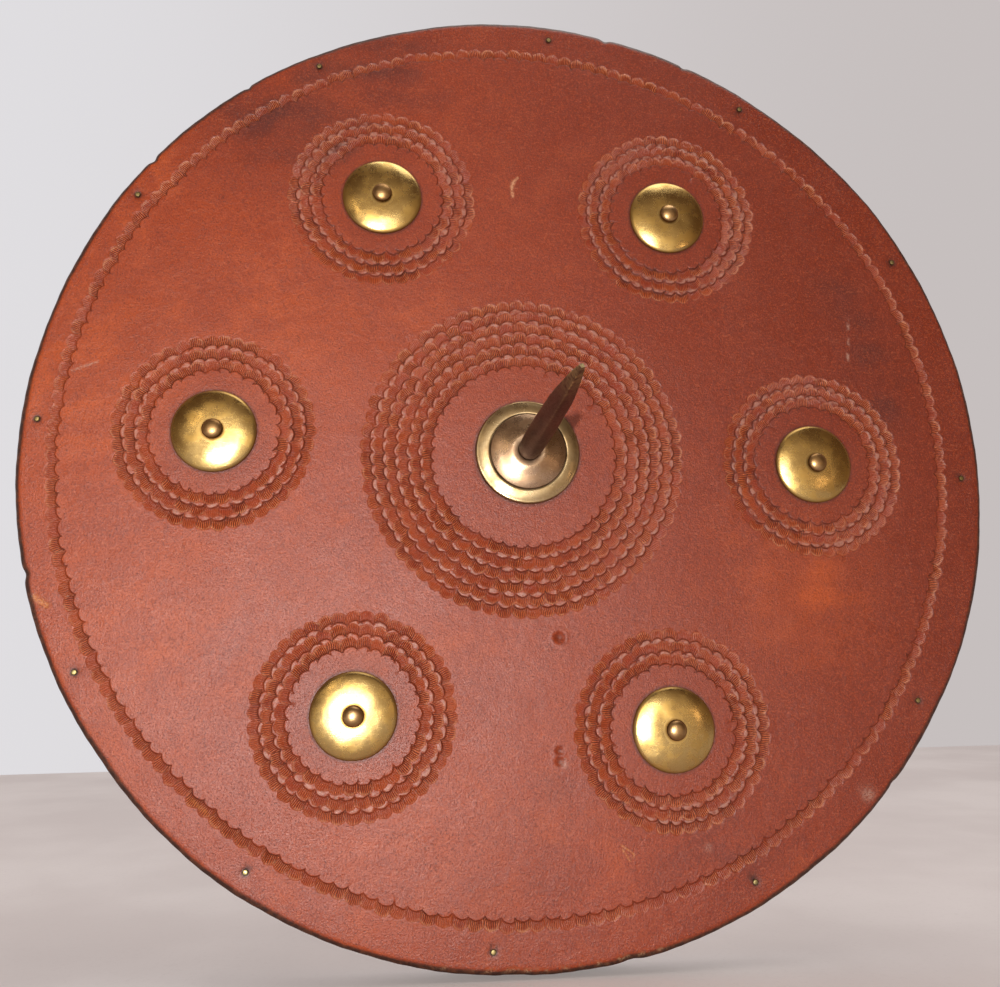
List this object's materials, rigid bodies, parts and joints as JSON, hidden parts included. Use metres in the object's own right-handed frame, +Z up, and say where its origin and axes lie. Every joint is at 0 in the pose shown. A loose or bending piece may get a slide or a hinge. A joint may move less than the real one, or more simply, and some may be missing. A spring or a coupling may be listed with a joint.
{
  "type": "round targe",
  "caption": "Round targe with a tooled red-brown leather face, brass bosses, a centre spike, and a buckled arm strap and hand grip on the back.",
  "frame": {"origin": "on the shield's axis, on the bearer's side of the hide backing", "axes": "+X to the right of a viewer who looks at the face, +Y from the face towards the bearer, +Z up"},
  "size_m": [0.508, 0.2392, 0.508],
  "materials": {
    "cover_leather": "tooled, waxed, worn satin",
    "backing_hide": "raw suede side, matt",
    "pine": "planed, stained at the edge",
    "strap_leather": "oiled bridle leather, satin",
    "brass": "polished, lightly scratched",
    "bronze": "silvery brown bronze, polished",
    "spike_iron": "dark brown patina, bare near the point",
    "steel": "dull, handled"
  },
  "bodies": {
    "shield": {"leather_cover": "cover_leather", "hide_backing": "backing_hide", "front_board_1": "pine", "front_board_2": "pine", "front_board_3": "pine", "back_board_1": "pine", "back_board_2": "pine", "back_board_3": "pine", "arm_strap": "strap_leather", "buckle_strap": "strap_leather", "strap_keeper": "strap_leather", "hand_grip": "strap_leather", "rim_nail_1": "brass", "rim_nail_2": "brass", "rim_nail_3": "brass", "rim_nail_4": "brass", "rim_nail_5": "brass", "rim_nail_6": "brass", "rim_nail_7": "brass", "rim_nail_8": "brass", "rim_nail_9": "brass", "rim_nail_10": "brass", "rim_nail_11": "brass", "rim_nail_12": "brass", "side_boss_1": "brass", "side_boss_2": "brass", "side_boss_3": "brass", "side_boss_4": "brass", "side_boss_5": "brass", "side_boss_6": "brass", "boss_rivet_1": "brass", "boss_rivet_2": "brass", "boss_rivet_3": "brass", "boss_rivet_4": "brass", "boss_rivet_5": "brass", "boss_rivet_6": "brass", "boss_rove_1": "brass", "boss_rove_2": "brass", "boss_rove_3": "brass", "boss_rove_4": "brass", "boss_rove_5": "brass", "boss_rove_6": "brass", "centre_boss": "brass", "buckle_frame": "brass", "arm_strap_nail_1": "brass", "arm_strap_nail_2": "brass", "arm_strap_nail_3": "brass", "arm_strap_nail_4": "brass", "grip_nail_1": "brass", "grip_nail_2": "brass", "grip_nail_3": "brass", "grip_nail_4": "brass", "centre_dome": "bronze", "spike_socket": "steel", "socket_washer": "steel", "socket_nut": "steel"},
    "spike": {"spike": "spike_iron"},
    "buckle_tongue_body": {"buckle_tongue": "brass"}
  },
  "joints": [
    {"name": "spike_withdraw", "type": "slide", "parent": "shield", "child": "spike", "axis": [0, -1, 0], "range_m": [0, 0.024]},
    {"name": "tongue_lift", "type": "hinge", "parent": "shield", "child": "buckle_tongue_body", "pos_m": [-0.048, 0.0719, -0.12415], "axis": [0, 0, -1], "range_deg": [0, 60]}
  ]
}
